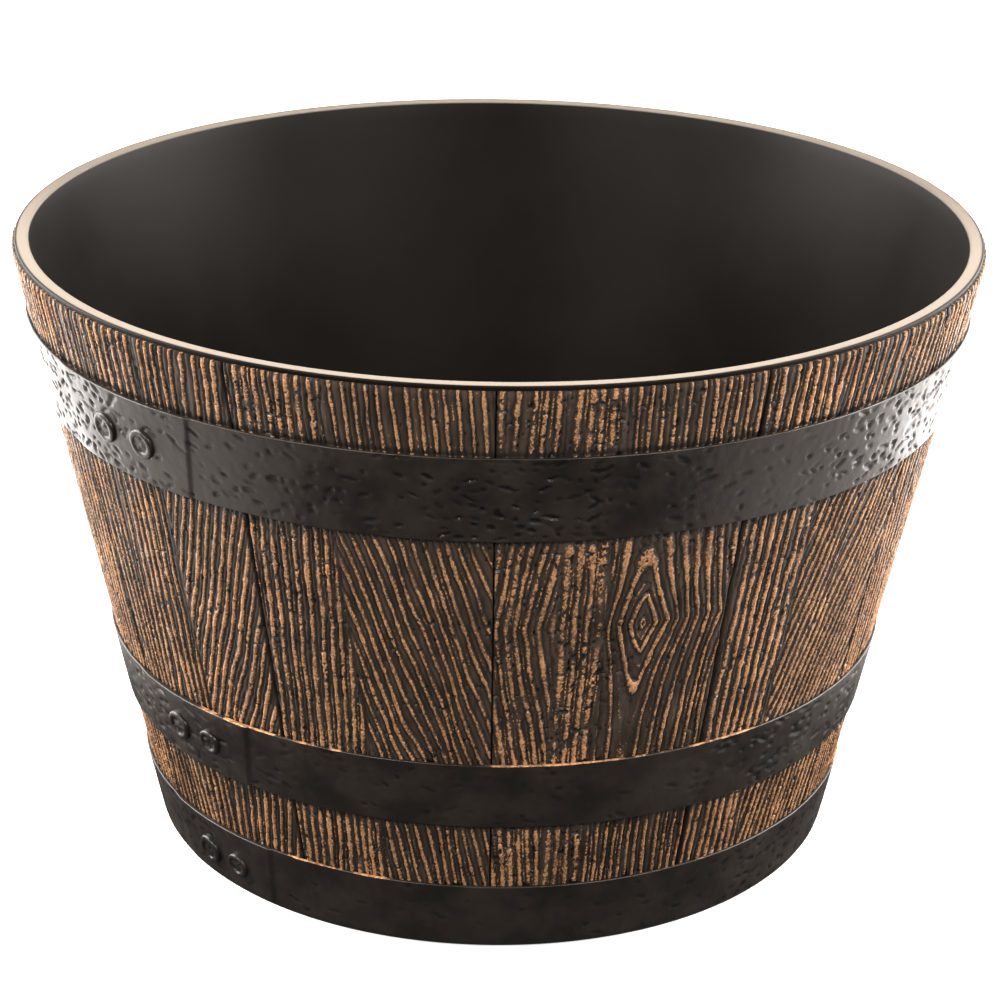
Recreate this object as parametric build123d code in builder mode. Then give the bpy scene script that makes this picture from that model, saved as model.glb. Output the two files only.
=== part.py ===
from build123d import *
from math import atan2, cos, degrees, radians, sin
import os

# Flower pot shaped as a half barrel: a resin shell dressed with moulded staves and hoops.
# Millimetres. The origin is the middle of the base, on the floor. +Z is up and -Y is the front.
# Angles are in degrees from the front, growing towards +X.

# The faces of the staves lie on one straight cone
pot_height = 258.5
wall_radius_at_rim = 199.0
wall_radius_at_floor = 142.8

# Inner shell, with the lip over the stave ends, the ledge under them and the foot ring
shell_wall = 3.0
lip_setback = 2.0
lip_thickness = 1.6
lip_inner_round = 1.2
lip_outer_round = 0.5
ledge_thickness = 4.0
foot_height = 8.0
foot_width = 9.0
floor_thickness = 4.0
floor_corner_round = 8.0
foot_notch_count = 4
foot_notch_width = 20.0
foot_notch_depth = 3.0

# Staves
stave_count = 12
stave_thickness = 4.5
stave_gap = 0.3
stave_edge_chamfer = 1.2
stave_end_chamfer = 0.6
stave_clearance = 0.1

# Hoops: how far below the rim or above the floor each one starts, and how tall it is
top_hoop_drop = 28.5
top_hoop_height = 35.5
middle_hoop_drop = 166.0
middle_hoop_height = 30.0
base_hoop_lift = 0.8
base_hoop_height = 31.7
base_hoop_round = 5.0
hoop_thickness = 1.1
hoop_clearance = 0.1
hoop_edge_round = 0.4
tuck_clearance = 0.2

# Each hoop's free end laps over its start, and two rivets hold the lap
lap_end_angle = -36.5
lap_turn = 21.0
lap_ramp_turn = 4.0
lap_rise = 0.8
rivet_angles = (-50.8, -43.8)
rivet_head_diameter = 12.8
rivet_head_height = 1.6
rivet_head_round = 0.7
rivet_dish_diameter = 6.4
rivet_dish_depth = 0.8
rivet_shank_diameter = 5.0
rivet_fit = 0.05

# Drain hole in the middle of the floor, and its pull-out stopper
drain_hole_diameter = 22.0
plug_fit = 0.08
plug_seat_gap = 0.1
plug_neck_reach = 1.5
plug_neck_chamfer = 0.8
plug_flange_diameter = 34.0
plug_flange_thickness = 3.0
plug_flange_round = 1.0
plug_tab_width = 20.0
plug_tab_height = 11.0
plug_tab_thickness = 5.0
plug_tab_round = 1.5

# Cuts start this far outside what they go through
cut_spare = 1.0

wall_lean = degrees(atan2(wall_radius_at_rim - wall_radius_at_floor, pot_height))
shell_setback = stave_thickness + stave_clearance
hoop_reach = hoop_clearance + hoop_thickness
lap_reach = hoop_reach + lap_rise
foot_radius = wall_radius_at_floor + hoop_reach - base_hoop_round
tuck_radius = foot_radius + tuck_clearance
ledge_bottom = base_hoop_lift + hoop_thickness + hoop_clearance
stave_bottom = ledge_bottom + ledge_thickness + stave_clearance
stave_top = pot_height - lip_thickness - stave_clearance
floor_top = foot_height + floor_thickness
stave_pitch = 360 / stave_count
stave_gap_turn = degrees(stave_gap / wall_radius_at_floor)


def wall_radius(height):
    """Radius of the stave faces at a height above the floor."""
    share = height / pot_height
    return wall_radius_at_floor + (wall_radius_at_rim - wall_radius_at_floor) * share


def wall_point(height, offset):
    """Section point at a height, and offset outwards from the stave faces."""
    return (wall_radius(height) + offset, height)


def wall_band(low, high, inner, outer):
    """Four section points of a band that follows the wall between two offsets."""
    return [
        wall_point(low, inner),
        wall_point(low, outer),
        wall_point(high, outer),
        wall_point(high, inner),
    ]


def radial_plane(angle):
    """Upright plane through the axis: its x runs outwards and its y runs up."""
    across = radians(angle)
    return Plane(
        origin=(0, 0, 0),
        x_dir=(sin(across), -cos(across), 0),
        z_dir=(-cos(across), -sin(across), 0),
    )


def face_plane(angle, height, offset):
    """Plane lying on the leaning wall, with its z pointing straight out of it."""
    across = radians(angle)
    lean = radians(wall_lean)
    radius = wall_radius(height) + offset
    return Plane(
        origin=(radius * sin(across), -radius * cos(across), height),
        x_dir=(cos(across), sin(across), 0),
        z_dir=(cos(lean) * sin(across), -cos(lean) * cos(across), -sin(lean)),
    )


def build_hoop(low, high, rolled_edge):
    """One hoop with its lapped end and rivet holes. A rolled edge tucks under the ledge."""
    with BuildPart() as hoop:
        with BuildSketch(radial_plane(0)) as band:
            if rolled_edge:
                Polygon(
                    wall_point(high, hoop_clearance),
                    wall_point(low + hoop_thickness, hoop_clearance),
                    (tuck_radius, low + hoop_thickness),
                    (tuck_radius, low),
                    wall_point(low, hoop_reach),
                    wall_point(high, hoop_reach),
                    align=None,
                )
                outer_corner = band.vertices().sort_by_distance(wall_point(low, hoop_reach))[0]
                fillet(outer_corner, base_hoop_round)
                inner_point = wall_point(low + hoop_thickness, hoop_clearance)
                inner_corner = band.vertices().sort_by_distance(inner_point)[0]
                fillet(inner_corner, base_hoop_round - hoop_thickness)
            else:
                Polygon(*wall_band(low, high, hoop_clearance, hoop_reach), align=None)
                lower_edge = band.vertices().sort_by_distance(wall_point(low, hoop_reach))[0]
                fillet(lower_edge, hoop_edge_round)
            upper_edge = band.vertices().sort_by_distance(wall_point(high, hoop_reach))[0]
            fillet(upper_edge, hoop_edge_round)
        revolve(axis=Axis.Z)

        # The lapped end: a thicker stretch that starts inside the band and stands proud of it
        lap_low = low + (base_hoop_round + hoop_edge_round if rolled_edge else hoop_edge_round)
        lap_high = high - hoop_edge_round
        buried = hoop_clearance + hoop_thickness / 2
        lap_start_angle = lap_end_angle - lap_turn
        with BuildSketch(radial_plane(lap_start_angle)):
            Polygon(*wall_band(lap_low, lap_high, buried, lap_reach), align=None)
        revolve(axis=Axis.Z, revolution_arc=lap_turn)
        with BuildSketch(radial_plane(lap_start_angle)):
            Polygon(*wall_band(lap_low, lap_high, buried, lap_reach), align=None)
        ramp_foot = hoop_reach - hoop_thickness / 5
        with BuildSketch(radial_plane(lap_start_angle - lap_ramp_turn)):
            Polygon(*wall_band(lap_low, lap_high, buried, ramp_foot), align=None)
        loft(ruled=True)

        rivet_height = (low + high) / 2
        for angle in rivet_angles:
            with Locations(face_plane(angle, rivet_height, lap_reach).offset(cut_spare)):
                Hole(rivet_shank_diameter / 2 + rivet_fit, depth=lap_reach + 2 * cut_spare)
    return hoop


def build_rivets(low, high):
    """The two rivets of one hoop: dished heads on the lap, and shanks through it."""
    with BuildPart() as rivets:
        for angle in rivet_angles:
            seat = face_plane(angle, (low + high) / 2, lap_reach)
            with BuildSketch(seat):
                Circle(rivet_head_diameter / 2)
            extrude(amount=rivet_head_height)
            with BuildSketch(seat):
                Circle(rivet_shank_diameter / 2)
            extrude(amount=-(lap_reach - hoop_clearance) * cos(radians(wall_lean)))
            crown = seat.offset(rivet_head_height)
            outer_edges = rivets.edges().filter_by(GeomType.CIRCLE).filter_by(
                lambda edge: edge.radius == rivet_head_diameter / 2
            )
            fillet(outer_edges.sort_by_distance(crown.origin)[0], rivet_head_round)
            with BuildSketch(crown):
                Circle(rivet_dish_diameter / 2)
            extrude(amount=-rivet_dish_depth, mode=Mode.SUBTRACT)
    return rivets


def save(piece, name):
    """Label a finished piece and write it under its own name."""
    piece.part.label = name
    export_step(piece.part, f"parts/{name}.step")


os.makedirs("parts", exist_ok=True)

# Shell: foot ring, floor, wall and lip are one turned section
with BuildPart() as pot_shell:
    inner_setback = -shell_setback - shell_wall
    lip_edge = wall_radius_at_rim - lip_setback
    with BuildSketch(Plane.XZ) as section:
        Polygon(
            (0, foot_height),
            (foot_radius - foot_width, foot_height),
            (foot_radius - foot_width, 0),
            (foot_radius, 0),
            (foot_radius, ledge_bottom),
            wall_point(ledge_bottom, 0),
            wall_point(ledge_bottom + ledge_thickness, 0),
            wall_point(ledge_bottom + ledge_thickness, -shell_setback),
            wall_point(pot_height - lip_thickness, -shell_setback),
            (lip_edge, pot_height - lip_thickness),
            (lip_edge, pot_height),
            wall_point(pot_height, inner_setback),
            wall_point(floor_top, inner_setback),
            (0, floor_top),
            align=None,
        )
        corners = section.vertices()
        ledge_round = base_hoop_round - hoop_thickness - hoop_clearance
        fillet(corners.sort_by_distance(wall_point(ledge_bottom, 0))[0], ledge_round)
        fillet(corners.sort_by_distance((lip_edge, pot_height))[0], lip_outer_round)
        fillet(corners.sort_by_distance(wall_point(pot_height, inner_setback))[0], lip_inner_round)
        fillet(corners.sort_by_distance(wall_point(floor_top, inner_setback))[0], floor_corner_round)
    revolve(axis=Axis.Z)
    with Locations((0, 0, floor_top)):
        Hole(drain_hole_diameter / 2, depth=floor_thickness + cut_spare)
    # Notches let drained water out under the foot ring
    with BuildSketch(Plane.XY):
        with PolarLocations(foot_radius - foot_width / 2, foot_notch_count):
            Rectangle(foot_width + 2 * cut_spare, foot_notch_width)
    extrude(amount=foot_notch_depth, mode=Mode.SUBTRACT)
save(pot_shell, "pot_shell")

# Staves: all alike, numbered round from the front towards +X
for number in range(stave_count):
    start = number * stave_pitch + stave_gap_turn / 2
    with BuildPart() as stave:
        with BuildSketch(radial_plane(start)):
            Polygon(*wall_band(stave_bottom, stave_top, -stave_thickness, 0), align=None)
        revolve(axis=Axis.Z, revolution_arc=stave_pitch - stave_gap_turn)
        sides = stave.edges().filter_by(GeomType.LINE).group_by(Edge.length)[-1]
        chamfer(sides.sort_by(SortBy.DISTANCE)[-2:], stave_edge_chamfer)
        top_arc = stave.edges().filter_by(GeomType.CIRCLE).sort_by(SortBy.DISTANCE)[-1]
        chamfer(top_arc, stave_end_chamfer)
    save(stave, f"stave_{number + 1:02d}")

# Hoops and their rivets
hoop_spans = {
    "top_hoop": (pot_height - top_hoop_drop - top_hoop_height, pot_height - top_hoop_drop),
    "middle_hoop": (
        pot_height - middle_hoop_drop - middle_hoop_height,
        pot_height - middle_hoop_drop,
    ),
    "base_hoop": (base_hoop_lift, base_hoop_lift + base_hoop_height),
}
for name, (low, high) in hoop_spans.items():
    save(build_hoop(low, high, name == "base_hoop"), name)
    save(build_rivets(low, high), f"{name}_rivets")

# Stopper: a flange on the floor, a neck in the drain hole and a tab to pull
with BuildPart() as drain_plug:
    flange_bottom = floor_top + plug_seat_gap
    flange_top = flange_bottom + plug_flange_thickness
    neck_bottom = foot_height - plug_neck_reach
    with BuildSketch(Plane.XY.offset(flange_bottom)):
        Circle(plug_flange_diameter / 2)
    extrude(amount=plug_flange_thickness)
    fillet(drain_plug.edges().sort_by(Axis.Z)[-1], plug_flange_round)
    with BuildSketch(Plane.XY.offset(neck_bottom)):
        Circle(drain_hole_diameter / 2 - plug_fit)
    extrude(amount=flange_bottom - neck_bottom)
    chamfer(drain_plug.edges().sort_by(Axis.Z)[0], plug_neck_chamfer)
    with BuildSketch(Plane.XZ.offset(-plug_tab_thickness / 2)):
        with Locations((0, flange_top)):
            Rectangle(plug_tab_width, plug_tab_height, align=(Align.CENTER, Align.MIN))
    extrude(amount=plug_tab_thickness)
    tab_top = drain_plug.faces().sort_by(Axis.Z)[-1]
    fillet(tab_top.edges(), plug_tab_round)
save(drain_plug, "drain_plug")
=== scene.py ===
# A half-barrel flower pot: moulded wood-grain staves, hammered hoops with riveted laps,
# a smooth shell with a thin lip, and a soft drain plug.
# Metres, +Z up, the middle of the base at the origin and the front towards -Y.
# Angles are degrees from the front, growing towards +X. "drop" is a depth below the rim.

import math
import bpy
import numpy as np
from mathutils import Matrix, Vector


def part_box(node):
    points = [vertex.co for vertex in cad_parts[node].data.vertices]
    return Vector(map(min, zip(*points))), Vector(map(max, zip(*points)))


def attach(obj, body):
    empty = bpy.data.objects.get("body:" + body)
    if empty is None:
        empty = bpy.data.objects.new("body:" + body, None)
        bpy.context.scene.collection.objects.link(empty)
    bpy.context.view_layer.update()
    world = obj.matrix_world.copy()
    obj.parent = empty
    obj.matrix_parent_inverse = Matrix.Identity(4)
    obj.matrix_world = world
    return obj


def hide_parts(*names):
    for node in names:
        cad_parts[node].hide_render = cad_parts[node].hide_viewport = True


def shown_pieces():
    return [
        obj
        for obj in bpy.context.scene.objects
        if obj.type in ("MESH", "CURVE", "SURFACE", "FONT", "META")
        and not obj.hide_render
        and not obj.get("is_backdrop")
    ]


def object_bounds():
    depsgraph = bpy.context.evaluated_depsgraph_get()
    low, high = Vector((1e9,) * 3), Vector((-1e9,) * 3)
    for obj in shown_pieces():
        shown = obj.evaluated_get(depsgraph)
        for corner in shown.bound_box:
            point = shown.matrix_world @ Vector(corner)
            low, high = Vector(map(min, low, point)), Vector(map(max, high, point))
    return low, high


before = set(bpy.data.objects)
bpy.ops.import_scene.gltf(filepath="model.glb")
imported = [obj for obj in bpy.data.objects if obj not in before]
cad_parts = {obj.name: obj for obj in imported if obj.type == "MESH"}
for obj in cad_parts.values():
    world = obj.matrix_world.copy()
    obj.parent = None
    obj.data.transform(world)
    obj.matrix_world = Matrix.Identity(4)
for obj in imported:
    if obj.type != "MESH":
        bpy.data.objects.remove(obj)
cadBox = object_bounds()
rimHeight = cadBox[1].z
mm = 0.001
print("frame loaded:", len(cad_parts), "nodes")

# The face of the staves lies on this cone
wall = {"rimRadius": 0.1990, "floorRadius": 0.1428}
wallSlope = (wall["rimRadius"] - wall["floorRadius"]) / rimHeight


def wallRadius(height):
    return wall["floorRadius"] + wallSlope * height


def bandOf(node):
    low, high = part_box(node)
    return low.z, high.z


# Helpers for modelling

def activate(piece):
    if bpy.context.mode != "OBJECT":
        bpy.ops.object.mode_set(mode="OBJECT")
    bpy.ops.object.select_all(action="DESELECT")
    piece.select_set(True)
    bpy.context.view_layer.objects.active = piece


def startPiece(name):
    piece = bpy.context.active_object
    piece.name = name
    piece.data.name = name
    activate(piece)
    return piece


def copyPiece(piece, name):
    twin = piece.copy()
    twin.data = piece.data.copy()
    twin.name = name
    twin.data.name = name
    bpy.context.scene.collection.objects.link(twin)
    return twin


def readPoints(piece):
    points = np.empty(len(piece.data.vertices) * 3, np.float32)
    piece.data.vertices.foreach_get("co", points)
    return points.reshape(-1, 3).astype(float)


def writePoints(piece, points):
    piece.data.vertices.foreach_set("co", points.astype(np.float32).ravel())
    piece.data.update()


def storeValue(piece, name, values):
    attribute = piece.data.attributes.new(name, "FLOAT", "POINT")
    attribute.data.foreach_set("value", values.astype(np.float32))


def pickPoints(piece, chosen):
    # selects points, and the edges and faces between them
    bpy.ops.object.mode_set(mode="OBJECT")
    bpy.context.tool_settings.mesh_select_mode = (True, False, False)
    bpy.ops.object.mode_set(mode="EDIT")
    bpy.ops.mesh.select_all(action="DESELECT")
    bpy.ops.object.mode_set(mode="OBJECT")
    piece.data.vertices.foreach_set("select", chosen)
    bpy.ops.object.mode_set(mode="EDIT")


def pickEdges(piece, test):
    # selects edges whose two ends pass the test
    bpy.ops.object.mode_set(mode="OBJECT")
    bpy.context.tool_settings.mesh_select_mode = (False, True, False)
    bpy.ops.object.mode_set(mode="EDIT")
    bpy.ops.mesh.select_all(action="DESELECT")
    bpy.ops.object.mode_set(mode="OBJECT")
    ends = np.empty(len(piece.data.edges) * 2, np.int32)
    piece.data.edges.foreach_get("vertices", ends)
    points = readPoints(piece)
    ends = ends.reshape(-1, 2)
    piece.data.edges.foreach_set("select", test(points[ends[:, 0]], points[ends[:, 1]]))
    bpy.ops.object.mode_set(mode="EDIT")


def finishPiece(piece, body, node, material, smoothAngle=60):
    activate(piece)
    piece.data.materials.clear()
    piece.data.materials.append(material)
    bpy.ops.object.shade_smooth_by_angle(angle=math.radians(smoothAngle))
    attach(piece, body)
    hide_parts(node)


def smoothStep(low, high, value):
    share = np.clip((value - low) / (high - low), 0, 1)
    return share * share * (3 - 2 * share)


def cellRandom(column, row, seed):
    # a repeatable number from 0 to 1 for every whole cell
    mixed = (column * 374761393 + row * 668265263 + seed * 974634777) & 0xFFFFFFFF
    mixed = ((mixed ^ (mixed >> 13)) * 1274126177) & 0xFFFFFFFF
    return ((mixed ^ (mixed >> 16)) & 0xFFFF) / 65535


def softNoise(across, along, seed):
    # smooth noise from -1 to 1, with cells one unit wide
    column, row = np.floor(across).astype(np.int64), np.floor(along).astype(np.int64)
    right, up = across - column, along - row
    right, up = right * right * (3 - 2 * right), up * up * (3 - 2 * up)
    low = cellRandom(column, row, seed) * (1 - right) + cellRandom(column + 1, row, seed) * right
    high = cellRandom(column, row + 1, seed) * (1 - right) + cellRandom(column + 1, row + 1, seed) * right
    return 2 * (low * (1 - up) + high * up) - 1


def addNode(tree, kind, inputs=None, **settings):
    # one shader node: each input is either a value or the socket that feeds it
    node = tree.nodes.new(kind)
    for name, value in settings.items():
        setattr(node, name, value)
    for socket, value in (inputs or {}).items():
        if isinstance(value, bpy.types.NodeSocket):
            tree.links.new(value, node.inputs[socket])
        else:
            node.inputs[socket].default_value = value
    return node


def startGroup(name, inputs, outputs):
    group = bpy.data.node_groups.new(name, "ShaderNodeTree")
    for label, start in inputs.items():
        socket = group.interface.new_socket(label, in_out="INPUT", socket_type="NodeSocketFloat")
        socket.default_value = start
    for label in outputs:
        group.interface.new_socket(label, in_out="OUTPUT", socket_type="NodeSocketFloat")
    return group, group.nodes.new("NodeGroupInput"), group.nodes.new("NodeGroupOutput")


def placeGroup(tree, group, inputs):
    return addNode(tree, "ShaderNodeGroup", inputs, node_tree=group)


def startMaterial(name):
    material = bpy.data.materials.new(name)
    material.use_nodes = True
    tree = material.node_tree
    tree.nodes.clear()
    output = tree.nodes.new("ShaderNodeOutputMaterial")
    skin = tree.nodes.new("ShaderNodeBsdfPrincipled")
    tree.links.new(skin.outputs["BSDF"], output.inputs["Surface"])
    return material, tree, skin


def mixColours(tree, share, first, second):
    mix = addNode(tree, "ShaderNodeMix", {"Factor": share}, data_type="RGBA")
    for socket, value in zip((mix.inputs[6], mix.inputs[7]), (first, second)):
        if isinstance(value, bpy.types.NodeSocket):
            tree.links.new(value, socket)
        else:
            socket.default_value = (*value, 1)
    return mix.outputs[2]


def remap(tree, value, low, high, newLow=0.0, newHigh=1.0, smooth=True):
    kind = "SMOOTHSTEP" if smooth else "LINEAR"
    sockets = {"Value": value, "From Min": low, "From Max": high, "To Min": newLow, "To Max": newHigh}
    return addNode(tree, "ShaderNodeMapRange", sockets, interpolation_type=kind).outputs["Result"]


def joinValues(tree, operation, first, second):
    return addNode(tree, "ShaderNodeMath", {0: first, 1: second}, operation=operation).outputs[0]


def makeRaggedRub():
    # where a dry brush has left copper: a wear value from the mesh, torn by fine noise
    inputs = {"Wear": 0.0, "Reach": 0.5, "Softness": 0.15, "Tear": 0.35, "Grain Size": 900.0}
    look = {"fineDetail": 3.0, "fineRoughness": 0.6, "patchSize": 60.0, "patchShare": 0.45, "middle": 0.5}
    group, entry, output = startGroup("raggedRub", inputs, ["Mask", "Shade"])
    place = addNode(group, "ShaderNodeTexCoord").outputs["Object"]
    fine = addNode(group, "ShaderNodeTexNoise", {"Vector": place, "Scale": entry.outputs["Grain Size"],
                                                 "Detail": look["fineDetail"],
                                                 "Roughness": look["fineRoughness"]}).outputs["Fac"]
    broad = addNode(group, "ShaderNodeTexNoise", {"Vector": place, "Scale": look["patchSize"],
                                                  "Detail": 2.0}).outputs["Fac"]
    fineSwing, broadSwing = (joinValues(group, "SUBTRACT", noise, look["middle"]) for noise in (fine, broad))
    torn = joinValues(group, "MULTIPLY", fineSwing, entry.outputs["Tear"])
    patchy = joinValues(group, "MULTIPLY", broadSwing, look["patchShare"])
    level = joinValues(group, "ADD", joinValues(group, "ADD", entry.outputs["Wear"], torn), patchy)
    top = joinValues(group, "ADD", entry.outputs["Reach"], entry.outputs["Softness"])
    mask = remap(group, level, entry.outputs["Reach"], top)
    group.links.new(mask, output.inputs["Mask"])
    group.links.new(joinValues(group, "ADD", fine, patchy), output.inputs["Shade"])
    return group


def makeMouldSkin():
    # the faint unevenness of moulded resin: broad cloudy tone and fine pimples
    group, entry, output = startGroup("mouldSkin", {"Cloud Size": 25.0, "Pimple Size": 700.0},
                                      ["Cloud", "Pimples"])
    place = addNode(group, "ShaderNodeTexCoord").outputs["Object"]
    cloud = addNode(group, "ShaderNodeTexNoise", {"Vector": place, "Scale": entry.outputs["Cloud Size"],
                                                  "Detail": 4.0, "Roughness": 0.6}).outputs["Fac"]
    pimples = addNode(group, "ShaderNodeTexNoise", {"Vector": place, "Scale": entry.outputs["Pimple Size"],
                                                    "Detail": 2.0}).outputs["Fac"]
    group.links.new(remap(group, cloud, 0.3, 0.7), output.inputs["Cloud"])
    group.links.new(pimples, output.inputs["Pimples"])
    return group


raggedRub = makeRaggedRub()
mouldSkin = makeMouldSkin()

copper = {"bright": (0.510, 0.270, 0.125), "dull": (0.180, 0.088, 0.046), "metallic": 0.15,
          "shadeRange": (0.38, 0.64)}


def copperColour(tree, shade):
    return mixColours(tree, remap(tree, shade, *copper["shadeRange"]), copper["dull"], copper["bright"])


def finishSkin(tree, skin, look, colour, mould, height):
    # what all four materials share: their colour, a cloudy roughness and a fine bump
    tree.links.new(colour, skin.inputs["Base Color"])
    rough = remap(tree, mould.outputs["Cloud"], 0, 1, *look["roughness"], smooth=False)
    tree.links.new(rough, skin.inputs["Roughness"])
    bump = addNode(tree, "ShaderNodeBump", {"Strength": look["bumpShare"], "Distance": look["bumpDepth"],
                                            "Height": height})
    tree.links.new(bump.outputs[0], skin.inputs["Normal"])


def makeStaveMaterial():
    look = {"cavityShadeColour": (0.0085, 0.0065, 0.0052), "dark": (0.022, 0.0152, 0.0112),
            "light": (0.055, 0.0380, 0.0275), "roughness": (0.40, 0.54),
            "streakSize": 260.0, "streakStretch": 0.12, "streakRange": (0.35, 0.68),
            "crumbSize": 950.0, "crumbStretch": 0.45, "crumbShare": 0.75,
            "bumpShare": 1.0, "bumpDepth": 0.00034}
    material, tree, skin = startMaterial("woodGrainResin")
    skin.inputs["Specular IOR Level"].default_value = 0.5
    place = addNode(tree, "ShaderNodeTexCoord").outputs["Object"]
    crest = addNode(tree, "ShaderNodeAttribute", attribute_name="crest").outputs["Fac"]
    depth = addNode(tree, "ShaderNodeAttribute", attribute_name="depth").outputs["Fac"]
    stretched = addNode(tree, "ShaderNodeMapping", {"Vector": place, "Scale": (1, 1, look["streakStretch"])})
    streaks = addNode(tree, "ShaderNodeTexNoise", {"Vector": stretched.outputs[0],
                                                   "Scale": look["streakSize"], "Detail": 4.0}).outputs["Fac"]
    broken = addNode(tree, "ShaderNodeMapping", {"Vector": place, "Scale": (1, 1, look["crumbStretch"])})
    crumbs = addNode(tree, "ShaderNodeTexNoise", {"Vector": broken.outputs[0], "Scale": look["crumbSize"],
                                                  "Detail": 3.0, "Roughness": 0.65}).outputs["Fac"]
    rub = placeGroup(tree, raggedRub, {"Wear": crest, "Reach": 0.46, "Softness": 0.20, "Tear": 1.35,
                                       "Grain Size": 1150.0})
    mould = placeGroup(tree, mouldSkin, {"Cloud Size": 30.0, "Pimple Size": 900.0})
    wood = mixColours(tree, remap(tree, streaks, *look["streakRange"]), look["dark"], look["light"])
    # painted shade: the depth value darkens the wood towards the cavity shade colour
    wood = mixColours(tree, depth, wood, look["cavityShadeColour"])
    colour = mixColours(tree, rub.outputs["Mask"], wood, copperColour(tree, rub.outputs["Shade"]))
    metal = joinValues(tree, "MULTIPLY", rub.outputs["Mask"], copper["metallic"])
    tree.links.new(metal, skin.inputs["Metallic"])
    crumbled = joinValues(tree, "MULTIPLY", crumbs, look["crumbShare"])
    pimpled = joinValues(tree, "MULTIPLY", mould.outputs["Pimples"], 1 - look["crumbShare"])
    finishSkin(tree, skin, look, colour, mould, joinValues(tree, "ADD", crumbled, pimpled))
    return material


def makeHoopMaterial():
    look = {"dark": (0.0098, 0.0074, 0.0060), "light": (0.021, 0.0162, 0.0132),
            "dentShade": (0.0035, 0.0027, 0.0022), "roughness": (0.30, 0.46),
            "bumpShare": 0.5, "bumpDepth": 0.00010}
    material, tree, skin = startMaterial("hammeredResin")
    skin.inputs["Specular IOR Level"].default_value = 0.40
    rubbed = addNode(tree, "ShaderNodeAttribute", attribute_name="rub").outputs["Fac"]
    dentShade = addNode(tree, "ShaderNodeAttribute", attribute_name="dentShade").outputs["Fac"]
    rub = placeGroup(tree, raggedRub, {"Wear": rubbed, "Reach": 0.45, "Softness": 0.25, "Tear": 0.5,
                                       "Grain Size": 500.0})
    mould = placeGroup(tree, mouldSkin, {"Cloud Size": 45.0, "Pimple Size": 1100.0})
    colour = mixColours(tree, mould.outputs["Cloud"], look["dark"], look["light"])
    # painted shade: the dents are darkened
    colour = mixColours(tree, dentShade, colour, look["dentShade"])
    colour = mixColours(tree, rub.outputs["Mask"], colour, copperColour(tree, rub.outputs["Shade"]))
    finishSkin(tree, skin, look, colour, mould, mould.outputs["Pimples"])
    return material


def makeShellMaterial():
    look = {"dark": (0.0034, 0.0024, 0.0017), "light": (0.0066, 0.0048, 0.0036),
            "lip": (0.32, 0.275, 0.228), "roughness": (0.42, 0.50),
            "bumpShare": 0.4, "bumpDepth": 0.00006}
    material, tree, skin = startMaterial("smoothResin")
    skin.inputs["Specular IOR Level"].default_value = 0.10
    lip = addNode(tree, "ShaderNodeAttribute", attribute_name="lip").outputs["Fac"]
    rubbed = addNode(tree, "ShaderNodeAttribute", attribute_name="rub").outputs["Fac"]
    rub = placeGroup(tree, raggedRub, {"Wear": rubbed, "Reach": 0.45, "Softness": 0.3, "Tear": 0.3,
                                       "Grain Size": 300.0})
    mould = placeGroup(tree, mouldSkin, {"Cloud Size": 12.0, "Pimple Size": 1400.0})
    colour = mixColours(tree, mould.outputs["Cloud"], look["dark"], look["light"])
    # painted highlight: the lip's top is pale
    colour = mixColours(tree, lip, colour, look["lip"])
    colour = mixColours(tree, rub.outputs["Mask"], colour, copperColour(tree, rub.outputs["Shade"]))
    finishSkin(tree, skin, look, colour, mould, mould.outputs["Pimples"])
    return material


def makePlugMaterial():
    look = {"dark": (0.034, 0.033, 0.032), "dusty": (0.095, 0.090, 0.084), "roughness": (0.58, 0.75),
            "bumpShare": 0.4, "bumpDepth": 0.00010}
    material, tree, skin = startMaterial("softRubber")
    mould = placeGroup(tree, mouldSkin, {"Cloud Size": 60.0, "Pimple Size": 900.0})
    colour = mixColours(tree, mould.outputs["Cloud"], look["dark"], look["dusty"])
    finishSkin(tree, skin, look, colour, mould, mould.outputs["Pimples"])
    return material


staveMaterial = makeStaveMaterial()
hoopMaterial = makeHoopMaterial()
shellMaterial = makeShellMaterial()
plugMaterial = makePlugMaterial()
print("materials made")

# Staves: a flat block with a fine grid on its face, wrapped on the cone with its grain raised

staves = {
    "count": 12,
    "turn": 30.0,
    "thickness": 4.5 * mm,
    "gap": 0.08 * mm,
    "columns": 250,
    "shownPitch": 0.8 * mm,
    "hiddenPitch": 6.0 * mm,
    "ridges": 21.5,
    "crestHeight": 0.72 * mm,
    "flatDepth": 0.65 * mm,
    "sideDepth": 0.40 * mm,
    "nickDepth": 0.7 * mm,
    "endRound": 0.5 * mm,
}

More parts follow.
